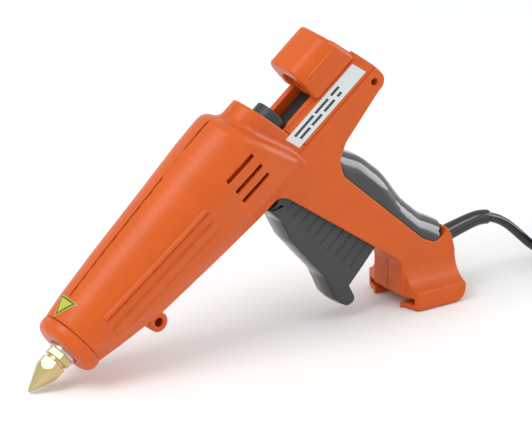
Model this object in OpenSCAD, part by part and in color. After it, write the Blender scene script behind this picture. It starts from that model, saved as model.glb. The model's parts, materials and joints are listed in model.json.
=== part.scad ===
// Industrial hot melt glue gun for 16 mm sticks, standing on its foot and nozzle tip.
// Row frame: +Z up, nozzle towards -X, +Y is the gun's right side, Z = 0 is the surface.
// Gun frame: x runs back along the barrel axis from the nozzle tip, z is across it, upwards.

/* [Stance] */
// Barrel tilt below horizontal with the foot flat on a surface
barrel_pitch = 38; // [37.5:0.5:38.5]
// Distance from the nozzle tip to the middle of the overall length
half_length = 166; // [165:0.5:167]

/* [Glue path] */
// Glue stick diameter
stick_d = 16; // [14:0.5:16]
// Clearance round the stick, on the radius
stick_gap = 0.5; // [0.3:0.1:0.6]
// Outer diameter of the melt chamber
chamber_d = 31; // [30:0.5:32]
// Nozzle size across its flats
nozzle_flats = 17; // [16:0.5:18]

/* [Housing] */
// Wall thickness of the two housing shells
wall = 3; // [2.4:0.1:3.2]
// Width of the handle
handle_w = 34; // [33:0.5:36]
// Width of the foot
foot_w = 60; // [58:1:62]
// Height of the foot's side faces
foot_rim = 12.3; // [11:0.1:13]
// Width of the mounting slot under the foot
slot_w = 52; // [48:1:52]
// Width of the slot's mouth
slot_mouth = 29; // [26:1:32]

/* [Trigger] */
// Trigger width
trigger_w = 24; // [23:0.5:24]
// Trigger travel in degrees
trigger_travel = 14; // [12:1:14]
// Distance from the trigger pivot to the drive pin
arm = 30; // [30:0.5:30.5]

/* [Mains lead] */
// Diameter of the mains lead
cord_d = 6.5; // [6:0.1:7]

/* [Hidden] */
$fn = 48;

orange = [0.90, 0.38, 0.16];
charcoal = [0.20, 0.21, 0.22];
steel = [0.75, 0.76, 0.78];
brass = [0.80, 0.68, 0.38];
label_grey = [0.86, 0.88, 0.89];

tip_r = 1.6;                            // outer radius of the nozzle's blunt tip
washer_r = 10;                          // washer between the nozzle and the melt chamber
tip_x = tip_r * sin(barrel_pitch) - half_length;
tip_z = tip_r * cos(barrel_pitch);
bore_r = stick_d / 2 + stick_gap;
side = handle_w / 2;
cavity = side - wall;                   // half-width of the handle's cavity
pivot = [219, -46];                     // trigger pivot, gun frame
drive_rest = pivot + arm * [sin(trigger_travel / 2), cos(trigger_travel / 2)];
drive_slot_top = pivot[1] + arm + 2.3;
rail_top = -6;
rail_seam = -26;
rail_end = 320;
end_slope = 4.5 / (rail_top - rail_seam);   // lean of the rail's and the cap's rear faces
bar_top = -12.5;                        // top of the drawbar, the floor of the carriage shoe
slot_ceiling = 8;
lip_t = 3.6;
hang_hole = [312.5, -34];
stand_lug = [95, -34.5];
lug_w = 25;
rib_h = 1.6;                            // height of the barrel's side ribs
side_ribs = [[9.2, 2.8], [-7.6, 7.6]];  // their undersides and widths
screw_tip = 11;                         // how far the housing screws reach past the seam

// Barrel stations: [x, half-width, centre height, keel half-width, keel height]
barrel_stations = [
    [46, 23.5, 1.5, 10, -20],
    [100, 26.5, 4, 15, -30],
    [206, 31, 6, 17, -38],
    [237, 25.5, 2.5, 17, -27]
];

// Housing screws: [x, z, height of the head seat] in the gun frame
screw_spots = [[72, -19, 12], [150, -26.5, 17], [150, 22, 14], [246, -41, 12], [297, -38, 12],
    [262, -178, 12]];

/* ---- helpers ---- */
function unit(v) = v / norm(v);
function left_of(v) = [-v[1], v[0]];
function turn180(a) = a > 180 ? a - 360 : (a < -180 ? a + 360 : a);
function xy(p) = [p[0], p[1]];

// A gun-frame point from a row-frame point, both as [x, z]
function gun_point(p, r = 0) = [
    (p[0] - tip_x) * cos(barrel_pitch) + (p[1] - tip_z) * sin(barrel_pitch),
    (p[1] - tip_z) * cos(barrel_pitch) - (p[0] - tip_x) * sin(barrel_pitch), r];

// Arc points that round the corner q between p and s with radius q[2]
function corner(p, q, s) = q[2] == 0 ? [xy(q)] :
    let (u = unit(xy(p) - xy(q)), v = unit(xy(s) - xy(q)),
        half = acos(u * v) / 2, c = xy(q) + unit(u + v) * q[2] / sin(half),
        a = xy(q) + u * q[2] / tan(half) - c, b = xy(q) + v * q[2] / tan(half) - c,
        a0 = atan2(a[1], a[0]), da = turn180(atan2(b[1], b[0]) - a0),
        n = max(2, round(abs(da) / 15)))
    [for (i = [0:n]) c + q[2] * [cos(a0 + da * i / n), sin(a0 + da * i / n)]];

// Outline with each corner rounded; corners are [x, z, radius], anticlockwise
function rounded(c) = [for (i = [0:len(c) - 1])
    each corner(c[(i + len(c) - 1) % len(c)], c[i], c[(i + 1) % len(c)])];

// The same corners moved inwards by d
function inset(c, d) = [for (i = [0:len(c) - 1])
    let (p = c[(i + len(c) - 1) % len(c)], q = c[i], s = c[(i + 1) % len(c)],
        a = unit(xy(q) - xy(p)), b = unit(xy(s) - xy(q)),
        n = left_of(a) + left_of(b), turn = a[0] * b[1] - a[1] * b[0],
        m = xy(q) + n * d / (1 + left_of(a) * left_of(b)))
    [m[0], m[1], turn > 0 ? max(q[2] - d, 0) : (q[2] == 0 ? 0 : q[2] + d)]];

// Places the gun frame in the row frame
module gun() {
    translate([tip_x, 0, tip_z]) rotate([0, -barrel_pitch, 0]) children();
}

// A side-view outline (x, z) extruded across the gun from y0 to y1
module across(y0, y1) {
    translate([0, y1, 0]) rotate([90, 0, 0]) linear_extrude(y1 - y0) children();
}

// A round bar along the barrel axis from x0 to x1
module rod(x0, x1, r, y = 0, z = 0) {
    translate([x0, y, z]) rotate([0, 90, 0]) cylinder(h = x1 - x0, r = r);
}

// A round bar across the gun at gun-frame point p
module cross_rod(p, y0, y1, r) {
    translate([p[0], y1, p[1]]) rotate([90, 0, 0]) cylinder(h = y1 - y0, r = r);
}

// Tube swept along points; each ring is square to the path
function tangent(p, i) = unit(p[min(i + 1, len(p) - 1)] - p[max(i - 1, 0)]);
function side_of(t) = unit(cross(abs(t[2]) > 0.9 ? [1, 0, 0] : [0, 0, 1], t));
module tube(path, radii, sides = 8) {
    rings = [for (i = [0:len(path) - 1])
        let (t = tangent(path, i), u = side_of(t), v = cross(t, u))
        each [for (k = [0:sides - 1])
            path[i] + radii[i] * (u * cos(360 * k / sides) + v * sin(360 * k / sides))]];
    last = (len(path) - 1) * sides;
    polyhedron(rings, [
        [for (k = [0:sides - 1]) k],
        for (i = [0:len(path) - 2]) for (k = [0:sides - 1])
            let (a = i * sides, k1 = (k + 1) % sides)
            [a + k1, a + k, a + sides + k, a + sides + k1],
        [for (k = [sides - 1:-1:0]) last + k]
    ], convexity = 4);
}

// Catmull-Rom points between the hand-chosen route points
function spline_at(a, b, c, d, t) = 0.5 * (2 * b + (c - a) * t
    + (2 * a - 5 * b + 4 * c - d) * t * t + (3 * b - a - 3 * c + d) * t * t * t);
function smooth(p, n) = concat([for (i = [0:len(p) - 2]) each [for (k = [0:n - 1])
    spline_at(p[max(i - 1, 0)], p[i], p[i + 1], p[min(i + 2, len(p) - 1)], k / n)]],
    [p[len(p) - 1]]);
function same(p, r) = [for (i = p) r];

/* ---- housing ---- */
// Side outline of handle, wing and neck, half as deep as the handle is wide
handle_corners = [
    [188, -26, 0], [188, -37.4, 0], [213, -38.5, 18], [239.6, -128.6, 0],
    gun_point([123, 33], 12), gun_point([122, 0]), gun_point([half_length, 0]),
    gun_point([half_length, 33], 6), gun_point([half_length - 2.5, 44], 5),
    [286, -160, 1], [281, -165, 4], [272.5, -162, 5], [268, -152, 8], [255, -67.5, 8],
    [259.5, -56.5, 6], [271, -50, 3], [310, -42.3, 9], [321.5, -41.5, 8],
    [rail_end, rail_seam, 1], [236, rail_seam, 0], [226, rail_seam, 0], [215, -16, 0]
];
// Rubber insert on the back of the handle
grip_corners = [
    [271, -50.2, 0.5], [259.5, -56.5, 6], [255, -67.5, 8], [268, -152, 8], [272.5, -162, 5],
    [281, -165, 4], [286, -160, 1], [282, -148, 14], [277.5, -125, 30], [281, -95, 30],
    [277, -74, 16]
];
// Opening in the handle's front edge that the trigger swings through
trigger_mouth = [
    [190, -37, 0], [203, -50, 0], [227, -137, 0], [243.5, -134, 0], [262.4, -129, 3],
    [254.4, -77, 4], [240, -60, 0], [232, -36, 0], [208, -34, 6]
];

module barrel_hull(shrink, x0, x1) {
    hull() for (s = barrel_stations) {
        x = min(max(s[0], x0), x1 - 1);
        translate([x, 0, s[2]]) rotate([0, 90, 0]) cylinder(h = 1, r = s[1] - shrink, $fn = 32);
        for (y = [-1, 1]) translate([x, y * (s[3] - 5), s[4] + 5])
            rotate([0, 90, 0]) cylinder(h = 1, r = 5 - shrink, $fn = 16);
    }
}

// Foot section (y, z): rim, then a concave flare up to the handle's width
foot_flare = [for (a = [0:15:90]) [side + (foot_w / 2 - side) * (1 - sin(a)),
    foot_rim + 2 + 16 * (1 - cos(a))]];
module foot_block() {
    translate([122, 0, 0]) rotate([90, 0, 90])
        linear_extrude(half_length - 122) polygon(concat(
            [[-foot_w / 2, 0], [foot_w / 2, 0], [foot_w / 2, foot_rim]], foot_flare,
            [for (i = [len(foot_flare) - 1:-1:0]) [-foot_flare[i][0], foot_flare[i][1]]],
            [[-foot_w / 2, foot_rim]]));
}

// T-shaped slot, open at the front and back, that slides on to a bench bracket
module foot_slot() {
    translate([121, -slot_mouth / 2, -1]) cube([half_length - 120, slot_mouth, lip_t + 2]);
    translate([121, -slot_w / 2, lip_t])
        cube([half_length - 120, slot_w, slot_ceiling - lip_t]);
}

// Rounded heel of the foot, seen from the side
module heel_cut() {
    difference() {
        translate([half_length - 9, -foot_w / 2 - 1, -1]) cube([10, foot_w + 2, 10]);
        translate([half_length - 9, foot_w / 2 + 2, 9]) rotate([90, 0, 0])
            cylinder(h = foot_w + 4, r = 9);
    }
}

module housing_outer() {
    gun() barrel_hull(0, 46, 238);
    gun() across(-side, side) polygon(rounded(handle_corners));
    foot_block();
    gun() cross_rod(stand_lug, -lug_w / 2, lug_w / 2, 7);
    gun() intersection() {
        barrel_hull(-rib_h, 46, 238);
        for (y = [-36, 16]) for (r = side_ribs) translate([66, y, r[0]]) cube([100, 20, r[1]]);
    }
}

module housing_cavity() {
    gun() barrel_hull(wall, 49, 235);
    floor_z = slot_ceiling + wall;                          // inner floor, above the foot's slot
    gun() across(-cavity, cavity) intersection() {
        polygon(rounded(inset(handle_corners, wall)));
        polygon([[180, 0], [330, 0], [330, -60], xy(gun_point([half_length + 5, floor_z])),
            xy(gun_point([100, floor_z])), [180, -60]]);
    }
    gun() across(-cavity, cavity)                           // way from the handle to the barrel
        polygon([[204, -34], [204, -18], [232, -18], [232, -29.2], [246, -29.2], [246, -36],
            [224, -45]]);
}

module housing_shell() {
    difference() {
        union() {
            difference() {
                housing_outer();
                housing_cavity();
            }
            gun() intersection() {
                for (s = screw_spots) cross_rod([s[0], s[1]], -40, 40, 4);
                union() {
                    barrel_hull(0.5, 46, 238);
                    translate([240, -side, -200]) cube([80, handle_w, 180]);
                }
            }
            gun() cross_rod(pivot, -side, side, 5);
            gun() cross_rod(hang_hole, -side, side, 6);
        }
        foot_slot();
        heel_cut();
        gun() rod(40, 52, 16.3);                            // front support
        gun() rod(230, 240, 12.1);                          // inlet collar
        gun() translate([200, -8.5, -22]) cube([60, 17, 12]);  // drawbar
        gun() across(-trigger_w / 2 - 0.7, trigger_w / 2 + 0.7) polygon(rounded(trigger_mouth));
        gun() cross_rod(pivot, -trigger_w / 2 - 0.7, trigger_w / 2 + 0.7, 6);
        gun() cross_rod(pivot, -15, 15, 2.5);
        gun() cross_rod(hang_hole, -side - 1, side + 1, 2.65);
        gun() cross_rod(stand_lug, -lug_w / 2 - 1, lug_w / 2 + 1, 3.2);
        gun() for (y = [-40, 20]) for (i = [0:2])            // vents beside the melt chamber
            translate([188, y, 11.5 - 10 * i]) cube([26, 20, 2.2]);
        gun() for (s = screw_spots) {
            cross_rod([s[0], s[1]], -screw_tip - 0.5, s[2] + 4, 1.7);
            cross_rod([s[0], s[1]], s[2], 40, 3.9);
        }
        translate([150, 0, 33]) rotate([0, 90 - 12.6, 0]) cylinder(h = 30, r = 6.7);
    }
}

module housing_left() color(orange) difference() {
    housing_shell();
    translate([-200, 0, -10]) cube([420, 60, 260]);
}

module housing_right() color(orange) difference() {
    housing_shell();
    translate([-200, -60, -10]) cube([420, 60, 260]);
}

// Ring with a rounded front edge that closes the nose; its bore is on the barrel axis
nose_z = 1.5;                               // height of the ring's middle above that axis
washer_gap = 0.6;
module nose_cap() color(orange) gun() difference() {
    translate([0, 0, nose_z]) rotate([0, 90, 0]) rotate_extrude($fn = 64) polygon(rounded(
        [[0, 35.5, 0], [23.5, 37, 7], [23.5, 46, 0], [16.5, 46, 0], [16.5, 40, 0],
        [0, 40, 0]]));
    rod(34, 41, washer_r + washer_gap);
}

// U-shaped track that the carriage slides on
module feed_rail() color(orange) gun() {
    ends = [[240, rail_seam, 0], [rail_end, rail_seam, 1],
        [rail_end - end_slope * (rail_top - rail_seam), rail_top, 1.5], [240, rail_top, 0]];
    difference() {
        across(-side, side) polygon(rounded(ends));
        translate([230, -10, -20]) cube([100, 20, 30]);
        rod(230, 250, 12.4);
        for (y = [-15, 12]) translate([243, y, -27]) cube([67, 3, 18]);
    }
}

module grip_insert() color(charcoal) gun() {
    across(-side + 4, side - 4) polygon(rounded(grip_corners));
    for (s = [-1, 1]) across(min(s * (side - 4), s * side), max(s * (side - 4), s * side))
        polygon(rounded([[270, -52, 0.5], [259.5, -56.5, 6], [255, -67.5, 8], [268, -152, 8],
            [272.5, -162, 5], [279, -164, 2], [276, -150, 14], [271, -125, 30],
            [273, -95, 30], [270, -74, 16]]));
}

/* ---- glue path and heating ---- */
module inlet_collar() color(charcoal) gun() difference() {
    rod(235, 249, 12);
    rod(234, 250, bore_r + 1.2);
}

module inlet_sleeve() color([0.93, 0.92, 0.88]) gun() difference() {
    union() {
        rod(186, 248, bore_r + 1.1);
        rod(196, 199, bore_r + 3);
    }
    rod(185, 249, bore_r);
}

module melt_chamber() color([0.70, 0.71, 0.72]) gun() difference() {
    union() {
        rod(52, 192, bore_r + 1.8);
        rod(78, 150, chamber_d / 2);
        rod(182, 192, bore_r + 3.5);
        rod(40, 53, 10);
    }
    rod(60, 186, bore_r - 0.4);
    rod(185.9, 193, bore_r + 1.15);
    rod(52, 61, 3.5);
    rod(39, 52.1, 5);
    for (a = [60, 120]) rod(84, 151, 2.05, 12.5 * cos(a), -12.5 * sin(a));
}

module heater_cartridges() color(steel) gun()
    for (a = [60, 120]) rod(84, 153, 2, 12.5 * cos(a), -12.5 * sin(a));

// Six-sided nozzle: threaded shank, flange, groove, body and faceted cone
module nozzle() color(brass) gun() difference() {
    union() {
        rod(33, 51, 4.95);
        hexagon_bar(28.5, 33.5, nozzle_flats);
        rod(26, 28.6, nozzle_flats / 2 - 1.4);
        hexagon_bar(19.5, 26, nozzle_flats - 0.6);
        translate([19.5, 0, 0]) rotate([0, -90, 0])
            cylinder(h = 19.5, r1 = (nozzle_flats - 0.6) / sqrt(3), r2 = tip_r, $fn = 6);
    }
    rod(-1, 40, 0.8);
    rod(30, 52, 2.5);
}

module hexagon_bar(x0, x1, flats) {
    translate([x0, 0, 0]) rotate([0, 90, 0]) cylinder(h = x1 - x0, r = flats / sqrt(3), $fn = 6);
}

module nozzle_washer() color(steel) gun() difference() {
    rod(33.5, 40, washer_r);
    rod(33, 41, 5.2);
}

module thermostat() color([0.15, 0.15, 0.16]) gun() {
    translate([164, 0, bore_r + 1.8]) cylinder(h = 6, r = 7.5);
    translate([157, -2, bore_r + 7.8]) cube([14, 4, 1]);
}

module thermal_fuse() color([0.85, 0.85, 0.80]) gun() rod(120, 134, 2.2, chamber_d / 2 + 2.2, 0);

module front_support() color([0.82, 0.80, 0.72]) gun() difference() {
    rod(46, 52, 16.2);
    rod(45, 53, 10);
}

module rear_support() color([0.82, 0.80, 0.72]) gun() difference() {
    intersection() {
        barrel_hull(wall + 0.2, 49, 235);
        translate([176, -40, -24]) cube([5, 80, 48]);
    }
    rod(175, 182, bore_r + 1.8);
    translate([175, -9, -30]) cube([7, 18, 13]);            // notch for the wires
}

/* ---- trigger ---- */
trigger_front = [
    [202, -43.5, 2], [203.6, -57, 10], [199.7, -77, 18], [200.4, -100, 24], [201.3, -117, 14],
    [196.4, -136.5, 8], [199, -146.3, 5]
];
blade_corners = concat(trigger_front, [
    [206.8, -148, 4], [209.5, -135.6, 0], [226, -133.2, 0], [240.7, -130.8, 0], [234, -90, 0],
    [227, -58, 3], [226, -39, 3], [212, -39, 3], [211, -44, 3]
]);
arm_corners = [
    [drive_rest[0] - 4.6, drive_rest[1] - 2, 3], [211.5, -44, 2], [214, -56, 2], [228, -56, 2],
    [228, -40, 3], [drive_rest[0] + 4.6, drive_rest[1] - 2, 2],
    [drive_rest[0] + 4.6, drive_rest[1] + 4, 4], [drive_rest[0] - 4.6, drive_rest[1] + 4, 4]
];
// Pad let into the blade's front, standing proud of it by the crown
pad_crown = 1.2;
pad_w = trigger_w - 3.4;
pad_corners = concat([for (c = trigger_front) [c[0] - pad_crown, c[1], c[2]]], [
    [202.2, -143.5, 0], [200, -136, 6], [204.6, -117, 14], [203.6, -100, 24], [203, -77, 18],
    [206.8, -58, 10], [205, -44.5, 0]
]);

module trigger_blade() color(charcoal) gun() difference() {
    union() {
        across(-trigger_w / 2, trigger_w / 2) polygon(rounded(blade_corners));
        for (y = [-trigger_w / 2, trigger_w / 2 - 3])
            across(y, y + 3) polygon(rounded(arm_corners));
    }
    across(-trigger_w / 2 + 2.5, trigger_w / 2 - 2.5) polygon([[209.5, -56],
        [206.2, -77], [206.4, -100], [207.4, -117], [206, -128], [226, -128], [230, -140],
        [250, -140], [250, -30], [208, -30], [208.5, -44]]);
    pad_solid(0.05);
    cross_rod(pivot, -20, 20, 2.56);
    cross_rod(drive_rest, -20, 20, 2);
    for (s = [-1, 1]) for (i = [0:9])                      // grip grooves on both cheeks
        translate([210.5 + 0.08 * i * i, s * trigger_w / 2 - 0.4, -54.5 - 8.1 * i])
            rotate([0, -6, 0]) cube([30, 0.8, 1.2]);
}

module pad_solid(gap = 0) across(-pad_w / 2 - gap, pad_w / 2 + gap) offset(delta = gap)
    polygon(rounded(pad_corners));

module trigger_pad() color(charcoal) gun() pad_solid();

module pivot_pin() color(steel) gun() cross_rod(pivot, -15, 15, 2.5);

module drive_pin() color(steel) gun()
    cross_rod(drive_rest, -trigger_w / 2, trigger_w / 2, 2);

// Torsion spring round the pivot pin, between the trigger's cheeks
spring_coil = [for (i = [0:5:360]) [pivot[0] + 4.2 * cos(i * 5), -6 + 11 * i / 360,
    pivot[1] + 4.2 * sin(i * 5)]];
spring_path = concat([[pivot[0] + 27, -6, pivot[1] + 9.8], [pivot[0] + 14, -6, pivot[1] + 5]],
    spring_coil);
module return_spring() color(steel) gun() tube(spring_path, same(spring_path, 0.6), 8);

/* ---- carriage ---- */
module drawbar() color([0.30, 0.31, 0.33]) gun() difference() {
    union() {
        translate([226, -8, bar_top - 4]) cube([80, 16, 4]);
        translate([213, -8, bar_top - 8]) cube([19, 16, 10]);
    }
    translate([drive_rest[0] - 2.05, -9, bar_top - 9])
        cube([4.1, 18, drive_slot_top - bar_top + 9]);
    for (x = [278, 302]) translate([x, 0, bar_top - 5]) cylinder(h = 6, r = 1.6);
}

cap_top = 24;
module carriage_cap() color(orange) gun() difference() {
    union() {
        difference() {
            hull() {
                for (s = [[274, 19], [311, 19.6]])
                    translate([s[0], 0, 2]) rotate([0, 90, 0])
                        cylinder(h = 2, r = s[1], $fn = 32);
                translate([274, -19, rail_top]) cube([39, 38, 6]);
                translate([274, -11, cap_top - 6]) cube([36, 22, 4]);
            }
            translate([270, -30, -40]) cube([50, 60, 40 + rail_top + 0.3]);
            across(-30, 30) polygon([[313, rail_top], [330, rail_top], [330, cap_top + 6],
                [313 - end_slope * (cap_top + 6 - rail_top), cap_top + 6]]);
        }
        translate([276, -9.6, bar_top]) cube([34, 19.2, 8]);
        for (s = [-1, 1]) for (r = [[24, 16.7, 11.2], [27, 18.8, 3.2]])    // side ribs
            translate([279, s * r[1] - 1, r[2]]) cube([r[0], 2, 1.6]);
    }
    rod(270, 320, bore_r);
    rod(270, 280, 12);
    translate([287, -3.2, bar_top - 1]) cube([15, 6.4, 8]);
    for (x = [278, 302]) translate([x, 0, bar_top - 1]) cylinder(h = 3, r = 1.3);
    cross_rod([298, -10.4], -9, 9, 1.05);
}

module stick_jaw() color(steel) gun() difference() {
    across(-2.8, 2.8) polygon([[288.5, -11.9], [299, -12.1], [300, -9.4], [297, -9],
        for (i = [0:2]) each [[295.5 - 2.4 * i, -9.6], [294 - 2.4 * i, -8.9]], [288.4, -9.8]]);
    cross_rod([298, -10.4], -4, 4, 1.05);
}

module jaw_pin() color(steel) gun() cross_rod([298, -10.4], -8.5, 8.5, 1);

module carriage_screws() color(steel) gun() for (x = [278, 302]) {
    translate([x, 0, bar_top - 4.8]) cylinder(h = 0.8, r = 3);
    translate([x, 0, bar_top - 4.1]) cylinder(h = 5.8, r = 1.25);
}

/* ---- fixings and wiring ---- */
module housing_screws() color(steel) gun() for (s = screw_spots) {
    cross_rod([s[0], s[1]], s[2], s[2] + 2.4, 3.6);
    cross_rod([s[0], s[1]], -screw_tip, s[2] + 0.1, 1.65);
}

module terminal_block() color([0.92, 0.90, 0.82]) gun() difference() {
    translate([256, -11, -43]) cube([20, 22, 9]);
    for (y = [-7, 0, 7]) translate([266, y, -35]) cylinder(h = 2, r = 2.2);
}

// Wires from the terminal block to the heaters and the chamber, then down to the lead
wire_routes = concat(
    [for (y = [-6.25, 0, 6.25])
        [[256, y, -39], [248, y * 0.9, -34], [238, y * 0.8, -32], [222, y * 0.8, -29],
         [200, y, -26], [178, y, -21], [165, y, -16], [y == 0 ? 158 : 153, y, -11.4]]],
    [for (y = [-4, 0, 4])
        [[264, y, -43], [257, y, -49], [250, y, -60], [250, y, -80], [255, y, -110],
         [259.5, y, -140], [259, y, -158], [258.5, y / 3, -163.5]]]);
module lead_wires() color([0.75, 0.20, 0.15]) gun() for (r = wire_routes) {
    p = smooth(r, 4);
    tube(p, same(p, 1.1), 8);
}

module cord_clamp() color(charcoal) translate([143, 0, 31.7]) difference() {
    translate([-1, -9, -5.5]) cube([6, 18, 11]);
    rotate([0, 90 - 12.4, 0]) translate([0, 0, -10]) cylinder(h = 24, r = cord_d / 2 + 0.05);
}

/* ---- mains lead ---- */
// Route from the handle to the coil, row frame, then from the coil to the plug
cord_route = [
    [140, 0, 31], [150, 0, 33.2], [160, 0, 35.4], [170, 0, 37.7], [180, 0, 40], [190, 0, 42],
    [196, 0, 42.6], [202, 0, 42], [208, 0, 40], [214, 0, 37], [220, 0, 32.6], [226, 0, 27],
    [232, 0, 20.8], [238, 0, 14.8], [245, 0, 9.5], [253, 0.1, 6], [262, 1.7, 4.5]
];
coil_x = 300;                               // middle of the coil
coil_y = -26;
coil_z = 1;                                 // height of the coil's underside
coil_rings = 4;                             // turns on top of each other
coil_mid_r = 39;
tail_route = [
    [336.6, -4.9, 24.3], [340.8, -15.1, 25.9], [342.2, -26, 28.6], [340.4, -36.3, 32.1],
    [335.2, -45.3, 35], [327.3, -52, 36.9], [317.5, -55.5, 37.9], [312.2, -56, 38.1],
    [306, -56, 38.1]
];
plug_at = [298, -56, 38.1];                 // where the plug's body meets its cord sleeve
plug_l = 27;
relief_r = [for (i = [0:24]) 6.4 - 1.6 * i / 24];         // its outside, tapering

module strain_relief() color(charcoal) {
    p = smooth([for (i = [0:9]) cord_route[i]], 4);
    q = [for (i = [6:30]) p[i]];
    difference() {
        tube(q, relief_r, 16);
        tube(p, same(p, cord_d / 2), 12);
    }
}

module power_cord() color(charcoal) {
    p = smooth(cord_route, 2);
    tube(p, same(p, cord_d / 2), 12);
}

module cord_coil() color(charcoal) translate([coil_x, coil_y, coil_z])
    rotate_extrude($fn = 64) translate([coil_mid_r - cord_d, 0])
        square([2 * cord_d, coil_rings * cord_d]);

module cord_tail() color(charcoal) {
    p = smooth(tail_route, 2);
    q = [for (i = [4:len(p) - 1]) p[i]];    // the start of the route lies in the coil
    tube(q, same(q, cord_d / 2), 12);
}

module cord_tie() color([0.1, 0.1, 0.1])
    translate([coil_x - coil_mid_r - cord_d - 0.9, coil_y - 4, 0.1]) difference() {
        cube([2 * cord_d + 2, 8, coil_rings * cord_d + 1.8]);
        translate([0.7, -1, 0.8]) cube([2 * cord_d + 0.5, 10, coil_rings * cord_d + 0.2]);
    }

// Moulded three-pin plug lying on the coil
module plug() color(charcoal) translate(plug_at) rotate([0, -90, 0]) {
    linear_extrude(24) plug_outline(11, 13);
    translate([0, 0, -8]) cylinder(h = 8.1, r1 = 4.6, r2 = 7.5);
    translate([0, 0, 24]) linear_extrude(3) plug_outline(10, 12);
}

module plug_outline(a, b) {
    for (u = [-1, 1]) for (v = [-1, 1]) translate([u * (a - 4), v * (b - 4)]) circle(r = 4);
    square([2 * a, 2 * b - 8], center = true);
    square([2 * a - 8, 2 * b], center = true);
}

module plug_pins() color(brass) translate(plug_at - [plug_l, 0, 0]) {
    for (y = [-6.35, 6.35]) translate([-16, y - 0.75, 0]) cube([16, 1.5, 6.3]);
    translate([0, 0, -6]) rotate([0, -90, 0]) cylinder(h = 19, r = 2.4);
}

/* ---- labels ---- */
module data_label() color(label_grey) gun() across(-side - 0.3, -side)
    polygon([[244, -22.5], [312.5, -22.5], [309, -9.5], [240.5, -9.5]]);

module heat_label() color([0.85, 0.80, 0.15]) gun() intersection() {
    difference() {
        barrel_hull(-0.3, 46, 238);
        barrel_hull(0, 46, 238);
    }
    translate([0, 0, 10]) linear_extrude(30) polygon([[46.4, -1.5], [61.5, -12], [62.5, 7]]);
}

housing_left();
housing_right();
nose_cap();
feed_rail();
grip_insert();
inlet_collar();
inlet_sleeve();
melt_chamber();
nozzle();
nozzle_washer();
heater_cartridges();
thermostat();
thermal_fuse();
front_support();
rear_support();
pivot_pin();
return_spring();
trigger_blade();
trigger_pad();
drive_pin();
drawbar();
carriage_cap();
stick_jaw();
jaw_pin();
carriage_screws();
housing_screws();
terminal_block();
lead_wires();
cord_clamp();
strain_relief();
power_cord();
cord_coil();
cord_tail();
cord_tie();
plug();
plug_pins();
data_label();
heat_label();
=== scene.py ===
"""Looks of the hot melt glue gun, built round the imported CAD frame.

Objects are in metres in the row frame. The moulded shells are described as distance fields in
the gun frame, in millimetres: x runs back along the barrel axis from the nozzle tip, z is across
it, upwards, and y is the row's own. solid_mesh turns such a field into a smooth closed mesh.
"""
import json
import math

import bpy
import numpy as np
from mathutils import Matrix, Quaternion, Vector


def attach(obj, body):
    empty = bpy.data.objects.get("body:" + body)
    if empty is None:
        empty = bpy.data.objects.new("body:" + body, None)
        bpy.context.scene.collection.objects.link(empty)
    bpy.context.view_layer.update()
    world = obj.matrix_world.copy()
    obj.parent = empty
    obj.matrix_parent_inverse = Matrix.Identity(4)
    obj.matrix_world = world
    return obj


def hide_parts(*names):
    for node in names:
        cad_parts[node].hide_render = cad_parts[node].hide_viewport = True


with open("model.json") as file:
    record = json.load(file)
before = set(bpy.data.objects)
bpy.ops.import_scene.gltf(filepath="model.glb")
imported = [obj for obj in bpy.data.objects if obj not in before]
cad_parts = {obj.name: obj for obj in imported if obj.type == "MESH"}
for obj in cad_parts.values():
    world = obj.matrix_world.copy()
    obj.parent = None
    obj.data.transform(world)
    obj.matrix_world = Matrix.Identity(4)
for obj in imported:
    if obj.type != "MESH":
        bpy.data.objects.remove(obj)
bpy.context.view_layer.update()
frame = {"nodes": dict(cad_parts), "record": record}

MM = 0.001
PITCH = math.radians(38)                 # barrel tilt below horizontal
COS_P, SIN_P = math.cos(PITCH), math.sin(PITCH)
TIP_R = 1.6                              # half-width of the nozzle's tip across its flats
HALF_LENGTH = 166                        # half of the gun's length
TIP_X, TIP_Z = TIP_R * SIN_P - HALF_LENGTH, TIP_R * COS_P
SIDE = 17                                # half-width of the handle
WALL = 2.2                               # wall of the housing
TRIGGER_HALF = 12                        # half-width of the trigger
PIVOT = (219, -46)                       # middle of the trigger's pivot pin
CORD_R = 3.25


# ---------------------------------------------------------------- frames
def to_row(p):
    """Gun-frame points (n, 3) in mm to row-frame points in metres."""
    x = TIP_X + COS_P * p[:, 0] - SIN_P * p[:, 2]
    z = TIP_Z + SIN_P * p[:, 0] + COS_P * p[:, 2]
    return np.stack([x, p[:, 1], z], 1) * MM


def gun_point(x, z, r=0):
    """Gun-frame corner (x, z, radius) from row-frame x and z in mm."""
    return ((x - TIP_X) * COS_P + (z - TIP_Z) * SIN_P, (z - TIP_Z) * COS_P - (x - TIP_X) * SIN_P, r)


def row_x(x, z):
    return TIP_X + COS_P * x - SIN_P * z


def row_z(x, z):
    return TIP_Z + SIN_P * x + COS_P * z


# ---------------------------------------------------------------- distance field tools
def cut_round(a, b, r):
    """Intersection of two fields with its edge rounded to radius r."""
    return np.minimum(np.maximum(a, b), -r) + np.hypot(np.maximum(a + r, 0), np.maximum(b + r, 0))


def join_round(a, b, r):
    """Union of two fields with a fillet of radius r."""
    return np.maximum(np.minimum(a, b), r) - np.hypot(np.maximum(r - a, 0), np.maximum(r - b, 0))


def slab(v, low, high):
    """Distance to the space between low and high."""
    return np.maximum(low - v, v - high)


def lean_plane(x, z, at, lean):
    """Distance behind a face that crosses the barrel axis at x = at and leans forward."""
    return (x - at + lean * z) / math.hypot(1, lean)


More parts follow.
